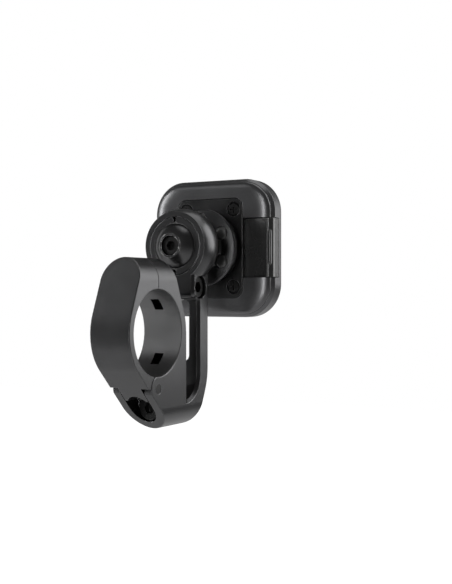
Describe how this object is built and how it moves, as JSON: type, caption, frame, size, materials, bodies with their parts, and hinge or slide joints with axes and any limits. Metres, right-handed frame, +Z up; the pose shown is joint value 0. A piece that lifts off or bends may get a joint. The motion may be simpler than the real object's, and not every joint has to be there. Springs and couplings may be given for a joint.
{
  "type": "handlebar phone mount",
  "caption": "Hinged handlebar clamp with a windowed arm, a ball joint, a vibration isolator and a square phone head with side release tabs.",
  "frame": {"origin": "on the handlebar's axis, at the middle of the clamp's width", "axes": "+X along the handlebar, +Y from the clamp towards the phone head, +Z up"},
  "size_m": [0.0566, 0.0838, 0.0978],
  "materials": {
    "anodised_body": "satin black anodised, machined",
    "anodised_plate": "bead-blasted black anodised",
    "ball_aluminium": "polished black anodised",
    "dark_steel": "black oxide",
    "bare_steel": "bare",
    "moulded_shell": "soft satin moulding",
    "elastomer": "matt",
    "acetal": "matt"
  },
  "bodies": {
    "arm": {"arm_body": "anodised_body", "hinge_pin": "dark_steel", "screw_insert": "bare_steel", "collet_left": "anodised_body", "collet_right": "anodised_body", "collet_shoe": "bare_steel", "pinch_cone": "bare_steel", "pinch_nut": "bare_steel"},
    "jaw": {"clamp_jaw": "anodised_body"},
    "clamp_screw": {"clamp_screw": "dark_steel"},
    "pinch_screw": {"pinch_screw": "dark_steel"},
    "liner": {"ball_liner": "acetal"},
    "ball": {"ball": "ball_aluminium"},
    "stem": {"isolator_dish": "anodised_body", "ball_screw": "dark_steel", "isolator_plugs": "elastomer"},
    "head": {"isolator_core": "anodised_body", "core_screws": "dark_steel", "back_plate": "anodised_plate", "back_plate_screws": "dark_steel", "rear_housing": "moulded_shell", "front_housing": "moulded_shell", "phone_platform": "moulded_shell", "platform_screws": "dark_steel", "platform_magnets": "bare_steel", "face_pad": "elastomer", "spring_block": "acetal", "tab_springs_left": "bare_steel", "tab_springs_right": "bare_steel"},
    "tab_left": {"release_tab_left": "moulded_shell", "latch_left": "bare_steel", "latch_screws_left": "dark_steel"},
    "tab_right": {"release_tab_right": "moulded_shell", "latch_right": "bare_steel", "latch_screws_right": "dark_steel"}
  },
  "joints": [
    {"name": "jaw_hinge", "type": "hinge", "parent": "arm", "child": "jaw", "pos_m": [0, 0, -0.0205], "axis": [1, 0, 0], "range_deg": [0, 55]},
    {"name": "clamp_screw_feed", "type": "slide", "parent": "arm", "child": "clamp_screw", "axis": [0, 1, 0], "range_m": [0, 0.005]},
    {"name": "pinch_screw_turn", "type": "hinge", "parent": "arm", "child": "pinch_screw", "pos_m": [0, 0.0301, 0.0169], "axis": [1, 0, 0], "range_deg": [0, 180]},
    {"name": "socket_swing", "type": "hinge", "parent": "arm", "child": "liner", "pos_m": [0, 0.0299, 0.033], "axis": [0, 1, 0], "continuous": true},
    {"name": "ball_tilt", "type": "hinge", "parent": "liner", "child": "ball", "pos_m": [0, 0.0299, 0.033], "axis": [1, 0, 0], "range_deg": [-25, 25]},
    {"name": "head_turn", "type": "hinge", "parent": "ball", "child": "stem", "pos_m": [0, 0.0299, 0.033], "axis": [0, 1, 0], "continuous": true},
    {"name": "isolator_float", "type": "slide", "parent": "stem", "child": "head", "axis": [0, 1, 0], "range_m": [-0.0006, 0.0006], "stiffness_N_per_m": 2500, "deforming": ["isolator_plugs"]},
    {"name": "tab_left_press", "type": "slide", "parent": "head", "child": "tab_left", "axis": [1, 0, 0], "range_m": [0, 0.002], "stiffness_N_per_m": 600, "springref_m": -0.002, "deforming": ["tab_springs_left"]},
    {"name": "tab_right_press", "type": "slide", "parent": "head", "child": "tab_right", "axis": [-1, 0, 0], "range_m": [0, 0.002], "stiffness_N_per_m": 600, "springref_m": -0.002, "deforming": ["tab_springs_right"]}
  ],
  "couplings": [
    {"joint": "clamp_screw_feed", "follows": "jaw_hinge", "m_per_rad": 0.005156}
  ]
}
